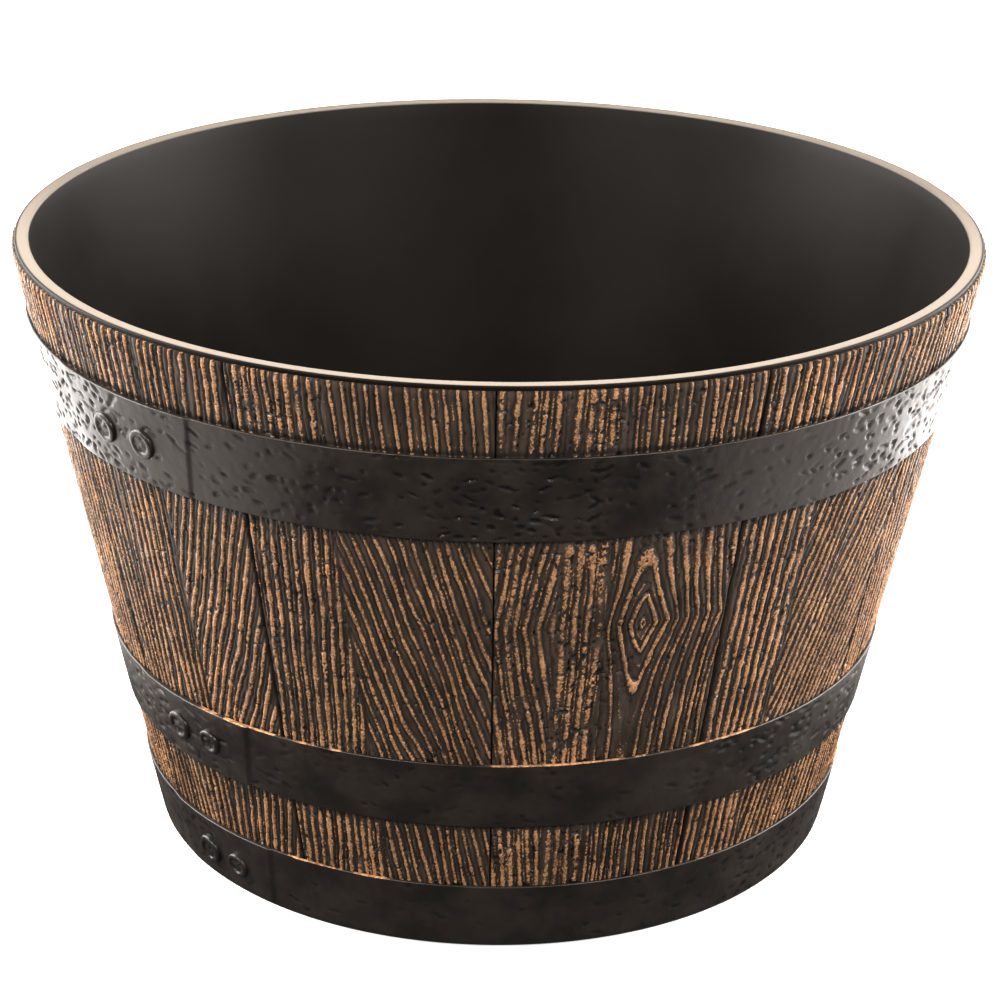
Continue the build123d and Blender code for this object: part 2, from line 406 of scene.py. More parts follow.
# Each board is split into zones of grain from its left edge. until: share of the width at mid height.
# slope: degrees that the lines lean, towards the right as they go down. vee: degrees that they bend
# at the apex drop, pointing right when positive. rough: how torn the copper is. reach: half a line, mm.
# broadTop: how much wider the lines are just under the top hoop
boards = {
    "fan": [
        {"until": 0.413, "edgeLean": 4.0, "slope": -3.5, "vee": 0, "rough": 0.50, "reach": 0.80},
        {"until": 1.0, "edgeLean": 0, "slope": 17.0, "vee": 0, "rough": 0.14, "reach": 0.60},
    ],
    "knot": [
        {"until": 0.255, "edgeLean": 0, "slope": 0, "vee": -9.0, "rough": 0.62, "reach": 0.85},
        {"until": 0.455, "edgeLean": 0, "slope": 0, "vee": 0, "rough": 0.80, "reach": 0.95, "broadTop": 0.5},
        {"until": 1.0, "edgeLean": 0, "slope": 0, "vee": 0, "rough": 0.36, "reach": 0.66, "knotAt": 0.617,
         "broadTop": 0.9},
    ],
    "halfLean": [
        {"until": 0.367, "edgeLean": 0, "slope": -2.0, "vee": 0, "rough": 0.25, "reach": 1.00},
        {"until": 1.0, "edgeLean": -6.0, "slope": -16.5, "vee": 0, "rough": 0.12, "reach": 0.85},
    ],
    "lateLean": [
        {"until": 0.567, "edgeLean": 0, "slope": -1.5, "vee": 0, "rough": 0.30, "reach": 0.85},
        {"until": 1.0, "edgeLean": -4.0, "slope": -18.5, "vee": 0, "rough": 0.15, "reach": 0.80},
    ],
    "plain": [
        {"until": 0.3, "edgeLean": 2.0, "slope": 2.5, "vee": 0, "rough": 0.25, "reach": 0.85},
        {"until": 0.72, "edgeLean": -2.0, "slope": -1.0, "vee": 0, "rough": 0.45, "reach": 0.95},
        {"until": 1.0, "edgeLean": 0, "slope": -4.0, "vee": 0, "rough": 0.20, "reach": 0.80},
    ],
}
# The board of each stave from stave_01 on, and whether it is mirrored
boardOrder = [
    ("knot", False), ("halfLean", False), ("plain", False), ("fan", True),
    ("lateLean", False), ("knot", True), ("plain", True), ("halfLean", True),
    ("fan", False), ("plain", False), ("lateLean", False), ("fan", False),
]
# Half width of each seam, mm, starting with the one at the front between stave_12 and stave_01
seamWidths = [0.45, 1.2, 1.1, 0.8, 1.1, 0.7, 0.5, 1.1, 0.9, 0.8, 1.2, 1.1]

# How the lines run, wear and end. Lengths are mm. A noise is (strength, cell across, cell along),
# a noise along lines is (strength, step from line to line, cell along), a chance is (least, luck),
# a range is where something starts and where it is full, and limits are the least and the most
grain = {
    "middleDrop": 115.0,
    "apexDrop": 104.0,
    "quietLean": 0.3,
    "sways": ("slowSway", "middleSway", "quickSway"),
    "slowSway": (0.45, 3.2, 85),
    "middleSway": (0.15, 1.3, 21),
    "quickSway": (0.045, 1 / 1.4, 4.5),
    "zoneEdge": (0.006, 9, 1),
    "zoneFade": (0.1, 1.3),
    "farOff": 9.0,
    "broadRange": (74, 92),
    "linesPerMm": (0.14, 0.36),
    "level": (0.86, 0.26),
    "levelLimits": (0.05, 1.08),
    "drift": (0.20, 5.37, 13),
    "dots": (1.0, 3.71, 1.6),
    "dotShift": 3,
    "dotLimits": (-0.4, 1),
    "torn": (0.18, 0.60),
    "width": (0.88, 0.34),
    "swelling": (0.24, 2.13, 2.6),
    "ripple": (0.22, 4.7, 1),
    "strand": {"half": 0.5, "level": 0.24, "byRough": 0.28, "most": 0.8},
    "strandDrift": (0.30, 1.9, 9),
    "furrow": {"place": 1.6, "half": 0.42, "levels": (0.35, 0.75)},
    "nicks": (1.0, 1.9, 0.95),
    "nickZones": (0.5, 16, 14),
    "nickRange": (0.66, 0.86),
    "nickByZone": 0.25,
    "nickQuiet": 0.9,
    "fineSkin": (0.06, 0.9, 5),
    "broadSkin": (0.12, 2.7, 18),
    "seam": {"least": 0.7, "byWidth": 0.6, "curve": 1.4, "fade": (0.3, 1.4)},
    "endRange": 2.2,
    # how the copper fades under a hoop: partly brush reach, partly painted shadow
    "underHoop": ((-1.5, 6.5), (0.3, 3.0)),
    "overHoop": (0.5, 3.5),
    # painted shade over the top hoop, in the seams and in the furrows beside the lines
    "cornerShade": 0.8,
    "seamShade": 0.65,
    "furrowShade": 0.75,
}
# The knot's rings are counted from ring at its middle: spacing is added for each line sideways, and
# pull for each mm up or down as far as reach, which fades over so many lines to the left and the right
knot = {"ring": 100.8, "spacing": 0.97, "leftSpread": 1.6, "rightSpread": 4.0, "pull": 0.10, "reach": 30.0}


def staveHeights():
    low, high = bandOf("stave_01")
    marks = [low, bandOf("base_hoop")[1], *bandOf("middle_hoop"), *bandOf("top_hoop"), high]
    heights = [low]
    for span, (start, end) in enumerate(zip(marks, marks[1:])):
        pitch = staves["shownPitch"] if span % 2 else staves["hiddenPitch"]
        heights += list(np.linspace(start, end, math.ceil((end - start) / pitch) + 1)[1:])
    return np.array(heights)


# drop of the middle of each hoop, where a change of grain is hidden
underHoop = {node: (rimHeight - sum(bandOf(node)) / 2) / mm for node in ("top_hoop", "middle_hoop")}


def leanRun(drop):
    # how far down the lines have leaned: fully between the two upper hoops, less above and below
    shownFrom = (rimHeight - bandOf("top_hoop")[0]) / mm
    shownTo = (rimHeight - bandOf("middle_hoop")[1]) / mm
    shown = np.clip(drop, shownFrom, shownTo)
    return shown + grain["quietLean"] * (drop - shown) - grain["middleDrop"]


def wander(name, across, along, seed):
    strength, cellAcross, cellAlong = grain[name]
    return strength * softNoise(across / cellAcross, along / cellAlong, seed)


def alongLines(name, line, drop, seed, shift=0):
    # noise that runs down each line, where neighbouring lines have nothing in common
    strength, apart, cellAlong = grain[name]
    return strength * softNoise(line * apart + shift, drop / cellAlong, seed)


def chance(name, column, row, seed):
    least, luck = grain[name]
    return least + luck * cellRandom(column, row, seed)


def ridgeCount(zone, share, drop, pitch, seed):
    # the number of the ridge line at each point: whole numbers are crests
    ridge = share * staves["ridges"]
    for order, name in enumerate(grain["sways"]):
        ridge = ridge + wander(name, ridge, drop, seed + order)
    run = leanRun(drop)
    bend = np.abs(run - leanRun(np.array(grain["apexDrop"])))
    if "knotAt" in zone:
        aside = ridge - zone["knotAt"] * staves["ridges"]
        spread = np.where(aside > 0, knot["rightSpread"], knot["leftSpread"])
        # the rings close within the knot's reach, and past it the lines run straight
        pull = knot["pull"] * knot["reach"] * np.tanh(bend / knot["reach"])
        rings = knot["ring"] + knot["spacing"] * np.abs(aside) + pull / (1 + np.abs(aside) / spread)
        # the knot is only between the two upper hoops
        return np.where((drop > underHoop["top_hoop"]) & (drop < underHoop["middle_hoop"]), rings, ridge)
    slope, vee = (math.tan(math.radians(zone[key])) for key in ("slope", "vee"))
    return ridge + (vee * bend - slope * run) / pitch


def zoneLines(boardName, across, drop, width, seed):
    # the count of the lines, how torn they are, their reach and the distance to a zone's edge
    pitch = width / staves["ridges"]
    count = np.zeros(across.shape)
    rough = np.zeros(across.shape)
    reach = np.zeros(across.shape)
    clear = np.full(across.shape, grain["farOff"])
    start = np.full(drop.shape, -1.0)
    for order, zone in enumerate(boards[boardName]):
        end = zone["until"] + math.tan(math.radians(zone["edgeLean"])) * leanRun(drop) / width
        end = np.where(zone["until"] == 1.0, 2.0, end + wander("zoneEdge", drop, drop * 0, seed + 9))
        inside = (across >= start) & (across < end)
        # every zone has its own noise, and line numbers that no other zone has
        lines = ridgeCount(zone, across, drop, pitch, seed + 20 * order) + 40 * order
        count = np.where(inside, lines, count)
        rough = np.where(inside, zone["rough"], rough)
        high = (1 - smoothStep(*grain["broadRange"], drop)) * (drop > underHoop["top_hoop"])
        reach = np.where(inside, zone["reach"] * (1 + zone.get("broadTop", 0) * high), reach)
        clear = np.minimum(clear, np.abs(across - end) * width)
        start = end
    return count, rough, reach, clear


def crestLines(count, rough, reach, across, drop, heights, width, seed):
    # how far each point belongs to a crest line, and to the furrow along each side of it, which is also
    # darkened with painted shade
    sideways = np.gradient(count, axis=1) * staves["columns"] / width
    upwards = np.gradient(count, heights / mm, axis=0)
    rate = np.clip(np.hypot(sideways, upwards), *grain["linesPerMm"])
    line = np.rint(count)
    away = np.abs(count - line) / rate
    lineSeed = line.astype(np.int64)
    dots = alongLines("dots", line, drop, seed + 5, across * grain["dotShift"])
    tornLeast, tornByDots = grain["torn"]
    level = chance("level", lineSeed, lineSeed * 0, seed + 3) + alongLines("drift", line, drop, seed + 4)
    level = level - rough * (tornLeast + tornByDots * np.clip(dots, *grain["dotLimits"]))
    level = np.clip(level, *grain["levelLimits"])
    wide = reach * chance("width", lineSeed, lineSeed * 0 + 1, seed + 6)
    swelling = alongLines("swelling", line, drop, seed + 7)
    wide = wide * (1 + swelling + alongLines("ripple", line, drop, seed + 14))
    crest = np.exp(-((away / wide) ** 2)) * level
    # faint strands half way between the lines
    strand, between = grain["strand"], np.floor(count)
    strandAway = np.abs(count - between - 0.5) / rate
    strandLevel = strand["level"] + alongLines("strandDrift", between, drop, seed + 13)
    strandLevel = np.clip(strandLevel + strand["byRough"] * rough, 0, strand["most"])
    crest = np.maximum(crest, np.exp(-((strandAway / strand["half"]) ** 2)) * strandLevel)
    side = grain["furrow"]
    furrow = np.exp(-(((away - side["place"] * wide) / side["half"]) ** 2))
    return crest, furrow * smoothStep(*side["levels"], level)


def grainField(number, heights):
    # height of the face above the cone in metres, the copper's reach and the painted cavity shade, on the
    # fine grid
    boardName, mirrored = boardOrder[number]
    seed = 17 * number + 5
    share = np.linspace(0, 1, staves["columns"] + 1)[None, :]
    drop = ((rimHeight - heights) / mm)[:, None]
    width = (wallRadius(heights) * math.radians(staves["turn"]) / mm)[:, None]
    across = (1 - share) if mirrored else share
    across, drop = np.broadcast_arrays(across, drop)
    count, rough, reach, clear = zoneLines(boardName, across, drop, width, seed)
    crest, furrow = crestLines(count, rough, reach, across, drop, heights, width, seed)
    crest = crest * smoothStep(*grain["zoneFade"], clear)
    nickZone = 0.5 + wander("nickZones", across * width, drop, seed + 10)
    nickField = wander("nicks", across * width, drop, seed + 8)
    nickField = nickField + grain["nickByZone"] * (rough + nickZone - grain["nickQuiet"])
    nick = smoothStep(*grain["nickRange"], nickField)
    # seams at both edges, and rounded ends
    seam = grain["seam"]
    near = share * width
    far = (1 - share) * width
    leftSeam, rightSeam = seamWidths[number], seamWidths[(number + 1) % staves["count"]]
    leftSink, rightSink = (seam["least"] + seam["byWidth"] * half for half in (leftSeam, rightSeam))
    leftGroove = (1 - smoothStep(0, leftSeam, near)) ** seam["curve"]
    rightGroove = (1 - smoothStep(0, rightSeam, far)) ** seam["curve"]
    crest = crest * (smoothStep(*seam["fade"], near / leftSeam) * smoothStep(*seam["fade"], far / rightSeam))
    skin = wander("fineSkin", across * width, drop, seed + 11)
    skin = skin + wander("broadSkin", across * width, drop, seed + 12)
    relief = skin * mm - staves["flatDepth"] + staves["crestHeight"] * np.minimum(crest, 1.0)
    relief = relief - furrow * staves["sideDepth"] - nick * staves["nickDepth"]
    relief = relief - (leftGroove * leftSink + rightGroove * rightSink) * mm
    topGap = heights[-1] - heights[:, None]
    relief = relief - staves["endRound"] * (1 - smoothStep(0, grain["endRange"] * mm, topGap))
    # the copper fades in the corner under a hoop: partly the brush not reaching in, partly painted shadow of
    # the hoop
    for node in ("top_hoop", "middle_hoop"):
        under = drop - (rimHeight - bandOf(node)[0]) / mm
        slowly, quickly = (smoothStep(*reachRange, under) for reachRange in grain["underHoop"])
        crest = crest * np.where(under > 0, 0.5 * slowly + 0.5 * quickly, 1)
    # and painted shade darkens the corner over the top hoop, its copper too
    over = (rimHeight - bandOf("top_hoop")[1]) / mm - drop
    corner = np.where(over > 0, 1 - smoothStep(*grain["overHoop"], over), 0)
    crest = crest * (1 - grain["cornerShade"] * corner)
    # painted shade: darker in the nicks, the corner over the top hoop, the seams and the furrow beside each
    # line
    cavityShade = nick + grain["cornerShade"] * corner + grain["seamShade"] * (leftGroove + rightGroove)
    cavityShade = np.clip(cavityShade + grain["furrowShade"] * furrow * (1 - crest), 0, 1)
    return relief, crest * (1 - nick), cavityShade


def makeFlatBlock(columns, rows):
    # one unit wide, high and thick, with a fine grid on its face and a plain back
    half = 0.4999
    bpy.ops.mesh.primitive_grid_add(x_subdivisions=columns, y_subdivisions=rows, size=1)
    block = startPiece("stave_blank")
    pickEdges(block, lambda a, b: (a[:, :2] * b[:, :2] > half * half).any(axis=1))
    bpy.ops.mesh.extrude_edges_move(TRANSFORM_OT_translate={"value": (0, 0, -1)})
    bpy.ops.object.mode_set(mode="OBJECT")
    points = readPoints(block)
    pickPoints(block, (points[:, 2] < -0.5) & (abs(points[:, 0]) > half) & (abs(points[:, 1]) < half))
    bpy.ops.mesh.dissolve_verts()
    pickEdges(block, lambda a, b: (a[:, 2] + b[:, 2] < -1.5) & (a[:, 1] * b[:, 1] > half * half))
    bpy.ops.mesh.bridge_edge_loops()
    bpy.ops.mesh.select_all(action="SELECT")
    bpy.ops.mesh.normals_make_consistent(inside=False)
    bpy.ops.object.mode_set(mode="OBJECT")
    return block


def makeStaves():
    heights = staveHeights()
    rows = len(heights) - 1
    blank = makeFlatBlock(staves["columns"], rows)
    flat = readPoints(blank)
    column = np.rint((flat[:, 0] + 0.5) * staves["columns"]).astype(int)
    row = np.rint((flat[:, 1] + 0.5) * rows).astype(int)
    onFace = flat[:, 2] > -0.5
    gapTurn = math.degrees(staves["gap"] / wall["floorRadius"])
    for number in range(staves["count"]):
        name = f"stave_{number + 1:02d}"
        stave = copyPiece(blank, name + "_grain")
        relief, copperReach, cavityShade = grainField(number, heights)
        offset = np.where(onFace, relief[row, column], -staves["thickness"])
        radius = wallRadius(heights[row]) + offset
        turn = number * staves["turn"] + gapTurn / 2 + (flat[:, 0] + 0.5) * (staves["turn"] - gapTurn)
        turn = np.radians(turn)
        writePoints(stave, np.column_stack((radius * np.sin(turn), -radius * np.cos(turn), heights[row])))
        storeValue(stave, "crest", np.where(onFace, copperReach[row, column], 0))
        # the depth value is painted shade, and it is full on the hidden back
        storeValue(stave, "depth", np.where(onFace, cavityShade[row, column], 1))
        finishPiece(stave, "pot", name, staveMaterial)
    bpy.data.objects.remove(blank)
    print("staves made:", staves["count"], "of", staves["columns"], "by", rows)


# Turned pieces: an outline of (radius, height) corners, turned round the upright axis


def roundedOutline(corners):
    # each corner is (radius, height, rounding, pitch): pitch divides the straight run that follows it
    points = []
    total = len(corners)
    for order, (radius, height, rounding, pitch) in enumerate(corners):
        here = Vector((radius, height))
        back = Vector(corners[order - 1][:2])
        ahead = Vector(corners[(order + 1) % total][:2])
        arc = [here]
        if rounding:
            toBack, toAhead = (back - here).normalized(), (ahead - here).normalized()
            halfTurn = toBack.angle(toAhead) / 2
            middle = here + (toBack + toAhead).normalized() * rounding / math.sin(halfTurn)
            first = here + toBack * rounding / math.tan(halfTurn) - middle
            last = here + toAhead * rounding / math.tan(halfTurn) - middle
            start = math.atan2(first.y, first.x)
            sweep = (math.atan2(last.y, last.x) - start + math.pi) % (2 * math.pi) - math.pi
            steps = max(2, math.ceil(abs(sweep) / math.radians(14)))
            turns = [start + sweep * step / steps for step in range(steps + 1)]
            arc = [middle + rounding * Vector((math.cos(turn), math.sin(turn))) for turn in turns]
        if points and points[-1][1]:
            start, pitchBefore = points[-1]
            pieces = math.ceil((arc[0] - start).length / pitchBefore)
            points += [(start.lerp(arc[0], step / pieces), 0) for step in range(1, pieces)]
        points += [(point, 0) for point in arc[:-1]] + [(arc[-1], pitch)]
    return [(point.x, point.y) for point, pitch in points]


def turnOutline(name, outline, steps, closed=True):
    bpy.ops.mesh.primitive_circle_add(vertices=len(outline), radius=0.1)
    piece = startPiece(name)
    writePoints(piece, np.array([(radius, 0, height) for radius, height in outline]))
    if not closed:
        # opens the loop along the axis
        pickEdges(piece, lambda a, b: abs(a[:, 0]) + abs(b[:, 0]) < 1e-7)
        bpy.ops.mesh.delete(type="EDGE")
        bpy.ops.object.mode_set(mode="OBJECT")
    lathe = piece.modifiers.new("lathe", "SCREW")
    lathe.steps = lathe.render_steps = steps
    lathe.use_merge_vertices = True
    lathe.merge_threshold = 0.001 * mm
    bpy.ops.object.modifier_apply(modifier="lathe")
    bpy.ops.object.mode_set(mode="EDIT")
    bpy.ops.mesh.select_all(action="SELECT")
    bpy.ops.mesh.remove_doubles(threshold=0.001 * mm)
    bpy.ops.mesh.normals_make_consistent(inside=False)
    bpy.ops.object.mode_set(mode="OBJECT")
    return piece


def turnOf(points):
    # degrees from the front, growing towards +X
    return np.degrees(np.arctan2(points[:, 0], -points[:, 1]))


# Hoops: hammered bands whose free end laps over the start
# depth: the deepest dent, mm. density: the share of the cells that have a dent outside the patches.
# patches: angles where the hammering is dense. rubbed: (from angle, to angle, strength) of the copper
# on the upper edge
hoops = {
    "clearance": 0.1 * mm,
    "proud": 1.2 * mm,
    "edgeRound": 0.45 * mm,
    "plainEdge": 1.6 * mm,
    "lapEnd": -36.5,
    "lapTurn": 21.0,
    "lapRamp": 4.0,
    "lapRise": 0.8 * mm,
    "lapSlant": 1.6,
    "lapStep": 0.20,
    "rolled": 5.0 * mm,
    "rollFace": {"low": 1.2 * mm, "back": 2.6 * mm, "fadeFrom": 1.0 * mm},
    "tuck": 0.2 * mm,
    "swell": 0.12 * mm,
    "unevenness": 0.06 * mm,
    "rubLedge": (0.75 * mm, 0.1 * mm),
    "rubFade": 5,
    "top_hoop": {"steps": 1440, "pitch": 0.72 * mm, "depth": 0.82, "density": 0.32, "seed": 31,
                 "patches": (-57, 2, 55, 112, 165, -150, -104), "rubbed": ()},
    "middle_hoop": {"steps": 1150, "pitch": 0.85 * mm, "depth": 0.60, "density": 0.20, "seed": 57,
                    "patches": (-58, 45, 68, 130, -170, -112),
                    "rubbed": ((-48, -15, 0.85), (-5, 42, 1.0), (80, 118, 0.8), (150, 200, 0.9),
                               (-120, -84, 0.8))},
    "base_hoop": {"steps": 1050, "pitch": 0.85 * mm, "depth": 0.55, "density": 0.18, "seed": 83,
                  "patches": (-62, 50, 75, 140, -160, -105),
                  "rubbed": ((-35, -12, 1.2), (18, 40, 0.5), (70, 105, 0.9), (140, 175, 0.7),
                             (-150, -118, 0.9))},
}
# One dent in its cell of (width, height) mm. A pair is the least and what luck adds to it: the place
# as a share of the cell, the half length, the half width and the strength. tilt: how far it may turn,
# in radians. sparse: the strength outside a patch and what the patch adds
hammer = {"cell": (5.4, 3.9), "place": (0.15, 0.7), "tilt": 1.3, "longHalf": (1.2, 2.6),
          "shortHalf": (0.65, 0.60), "bowlEdge": 1.15, "bowlRun": 0.50, "strength": (0.40, 0.60),
          "sparse": (0.60, 0.40),
          "patchTurn": 13, "patchDensity": 0.50}


def hoopOutline(node):
    low, high = bandOf(node)
    inner, outer = hoops["clearance"], hoops["proud"]
    edge, pitch = hoops["edgeRound"], hoops[node]["pitch"]
    if node != "base_hoop":
        return roundedOutline([
            (wallRadius(low) + inner, low, 0, 0),
            (wallRadius(low) + outer, low, edge, pitch),
            (wallRadius(high) + outer, high, edge, 0),
            (wallRadius(high) + inner, high, 0, 0),
        ])
    thick = outer - inner
    tuckRadius = wall["floorRadius"] + outer - hoops["rolled"] + hoops["tuck"]
    return roundedOutline([
        (wallRadius(high) + inner, high, 0, 0),
        (wallRadius(low + thick) + inner, low + thick, hoops["rolled"] - thick, 0),
        (tuckRadius, low + thick, 0, 0),
        (tuckRadius, low, 0, 0),
        (wallRadius(low) + outer, low, hoops["rolled"], pitch),
        (wallRadius(high) + outer, high, edge, 0),
    ])


def hammerDents(turn, height, radius, look):
    # depth of the nearest dent, from 0 to 1, in a ring of cells that closes on itself
    cellWide, cellHigh = hammer["cell"]
    placeLeast, placeLuck = hammer["place"]
    longLeast, longLuck = hammer["longHalf"]
    shortLeast, shortLuck = hammer["shortHalf"]
    strongLeast, strongLuck = hammer["strength"]
    sparse, byPatch = hammer["sparse"]
    columns = int(round(2 * math.pi * radius / mm / cellWide))
    across = (turn % 360) / 360 * columns
    along = height / mm / cellHigh
    column, row = np.floor(across).astype(np.int64), np.floor(along).astype(np.int64)
    dents = np.zeros(len(turn))
    for stepAcross in (-1, 0, 1):
        for stepAlong in (-1, 0, 1):
            cell, line = (column + stepAcross) % columns, row + stepAlong
            luck = [cellRandom(cell, line, look["seed"] + order) for order in range(7)]
            cellTurn = (cell + 0.5) / columns * 360
            dense = np.zeros(len(turn))
            for patch in look["patches"]:
                apart = (cellTurn - patch + 180) % 360 - 180
                dense = np.maximum(dense, np.exp(-((apart / hammer["patchTurn"]) ** 2)))
            there = luck[0] < look["density"] + hammer["patchDensity"] * dense
            aside = (column + stepAcross + placeLeast + placeLuck * luck[1] - across) * cellWide
            above = (line + placeLeast + placeLuck * luck[2] - along) * cellHigh
            tilt = (luck[3] - 0.5) * hammer["tilt"]
            lengthwise = aside * np.cos(tilt) + above * np.sin(tilt)
            crosswise = above * np.cos(tilt) - aside * np.sin(tilt)
            longHalf = longLeast + longLuck * luck[4] ** 2
            shortHalf = shortLeast + shortLuck * luck[5]
            far = (lengthwise / longHalf) ** 2 + (crosswise / shortHalf) ** 2
            bowl = smoothStep(0, hammer["bowlRun"], hammer["bowlEdge"] - far)
            bowl = bowl * (strongLeast + strongLuck * luck[6]) * (sparse + byPatch * dense)
            dents = np.maximum(dents, np.where(there, bowl, 0))
    return dents


def makeHoop(node):
    look = hoops[node]
    low, high = bandOf(node)
    hoop = turnOutline(node + "_band", hoopOutline(node), look["steps"])
    points = readPoints(hoop)
    turn, height = turnOf(points), points[:, 2]
    radius = np.hypot(points[:, 0], points[:, 1])
    proud = radius - wallRadius(height)
    onFace = smoothStep(hoops["clearance"] * 2, hoops["proud"] * 0.9, proud)
    if node == "base_hoop":
        # its rolled foot stands back from the cone, so it is told by its height and radius
        rolledTop = low + hoops["rolled"]
        roll = hoops["rollFace"]
        outside = radius > wallRadius(low) - roll["back"]
        onRoll = (height <= rolledTop) & (height > low + roll["low"]) & outside
        rollFade = smoothStep(low + roll["fadeFrom"], rolledTop, height)
        onFace = np.where(height > rolledTop, onFace, onRoll * rollFade)
    plain = hoops["plainEdge"]
    inBand = smoothStep(0, plain, height - low) * smoothStep(0, plain, high - height)
    dents = hammerDents(turn, height, wallRadius((low + high) / 2), look) * onFace * inBand
    # the lap rises out of the band, and its end is a clean step
    end = hoops["lapEnd"] + hoops["lapSlant"] * ((height - low) / (high - low) - 0.5)
    start = hoops["lapEnd"] - hoops["lapTurn"]
    rise = smoothStep(start - hoops["lapRamp"], start, turn)
    lap = rise * (1 - smoothStep(end - hoops["lapStep"], end + hoops["lapStep"], turn))
    swell = softNoise(turn / 7 + 90, height / mm / 14, look["seed"] + 9)
    fine = softNoise((turn % 360) * 1.5, height / mm / 2.2, look["seed"] + 10)
    offset = -dents * look["depth"] * mm + lap * hoops["lapRise"] * onFace
    offset = offset + (hoops["swell"] * swell + hoops["unevenness"] * fine) * onFace
    grown = (radius + offset) / radius
    writePoints(hoop, np.column_stack((points[:, 0] * grown, points[:, 1] * grown, height)))
    rub = np.zeros(len(turn))
    for fromTurn, toTurn, strength in look["rubbed"]:
        around = (turn - fromTurn) % 360
        run, fade = toTurn - fromTurn, hoops["rubFade"]
        inside = smoothStep(0, fade, around) * (1 - smoothStep(run - fade, run, around))
        rub = np.maximum(rub, inside * strength)
    ledgeStart, ledgeFull = hoops["rubLedge"]
    ledge = smoothStep(high - ledgeStart, high - ledgeFull, height)
    rub = rub * ledge * (0.75 + 0.5 * softNoise((turn % 360) / 1.7, height * 0, look["seed"] + 12))
    storeValue(hoop, "rub", rub)
    # painted shade for the dents
    storeValue(hoop, "dentShade", smoothStep(0.20, 0.75, dents))
    finishPiece(hoop, "pot", node, hoopMaterial, smoothAngle=50)


for node in ("top_hoop", "middle_hoop", "base_hoop"):
    makeHoop(node)
print("hoops made")

# Rivets: one dished head is modelled, copied and seated on each lap

rivets = {
    "turns": (-50.8, -43.8),
    "radius": 6.4 * mm,
    "sides": 72,
    # (share of the radius, height in mm) from the seat up and in to the middle of the dish
    "profile": ((1.0, 0.0), (1.0, 0.75), (0.975, 1.12), (0.92, 1.40), (0.85, 1.55), (0.77, 1.60),
                (0.70, 1.54), (0.64, 1.36), (0.60, 1.10), (0.55, 0.92), (0.47, 0.86), (0.36, 0.92),
                (0.24, 1.05), (0.12, 1.12)),
    "dish": (0.50, 0.66),
    "lumps": 0.34,
    "waves": 0.10,
    "flatBelow": 0.3 * mm,
    "sink": 0.4 * mm,
    # how much smaller the second head of each hoop looks in its worn mould
    "scales": {"top_hoop": (1.0, 0.97), "middle_hoop": (1.0, 0.84), "base_hoop": (1.0, 0.84)},
}


def makeRivetBlank():
    bpy.ops.mesh.primitive_circle_add(vertices=rivets["sides"], radius=rivets["radius"], fill_type="NGON",
                                      location=(0, 0, -rivets["sink"]))
    blank = startPiece("rivet_blank")
    bpy.ops.object.transform_apply(location=True)
    bpy.ops.object.mode_set(mode="EDIT")
    bpy.context.tool_settings.mesh_select_mode = (False, False, True)
    bpy.ops.mesh.select_all(action="SELECT")
    size, height = 1.0, -rivets["sink"]
    for share, rise in rivets["profile"]:
        bpy.ops.mesh.extrude_region_move(TRANSFORM_OT_translate={"value": (0, 0, rise * mm - height)})
        bpy.ops.transform.resize(value=(share / size, share / size, 1))
        size, height = share, rise * mm
    bpy.ops.mesh.poke()
    bpy.ops.object.mode_set(mode="OBJECT")
    return blank


def makeRivets():
    blank = makeRivetBlank()
    shape = readPoints(blank)
    lean = math.atan(wallSlope)
    flat, drooped = math.cos(lean), -math.sin(lean)
    for order, node in enumerate(("top_hoop", "middle_hoop", "base_hoop")):
        low, high = bandOf(node)
        height = (low + high) / 2
        seat = wallRadius(height) + hoops["proud"] + hoops["lapRise"]
        for side, (turn, scale) in enumerate(zip(rivets["turns"], rivets["scales"][node])):
            rivet = copyPiece(blank, f"{node}_rivet_{side + 1}")
            seed = 200 + 10 * order + side
            points = shape.copy()
            away = np.hypot(points[:, 0], points[:, 1]) / rivets["radius"]
            spread = points / mm + 50
            lumps = softNoise(spread[:, 0] / 1.5, spread[:, 1] / 1.5, seed)
            dish = 1 - smoothStep(*rivets["dish"], away)
            raised = points[:, 2] > rivets["flatBelow"]
            waves = softNoise(spread[:, 0] / 2.4, spread[:, 1] / 2.4, seed + 1)
            points[:, 2] += (rivets["lumps"] * lumps * dish + rivets["waves"] * waves) * mm * raised
            points[:, :2] *= scale * (1 + 0.02 * softNoise(spread[:, :1] / 3, spread[:, 1:2] / 3, seed + 2))
            angle = math.radians(turn)
            right = np.array((math.cos(angle), math.sin(angle), 0))
            out = np.array((flat * math.sin(angle), -flat * math.cos(angle), drooped))
            up = np.cross(out, right)
            centre = np.array((seat * math.sin(angle), -seat * math.cos(angle), height))
            writePoints(rivet, centre + points[:, :1] * right + points[:, 1:2] * up + points[:, 2:] * out)
            storeValue(rivet, "rub", np.zeros(len(points)))
            # painted shade in the low lumps of the dish
            storeValue(rivet, "dentShade", dish * smoothStep(0.1, 0.5, -lumps) * 0.8)
            finishPiece(rivet, "pot", node + "_rivets", hoopMaterial, smoothAngle=70)
    bpy.data.objects.remove(blank)


makeRivets()
print("rivets made")

# Shell: foot ring, floor, wall and lip in one turned section

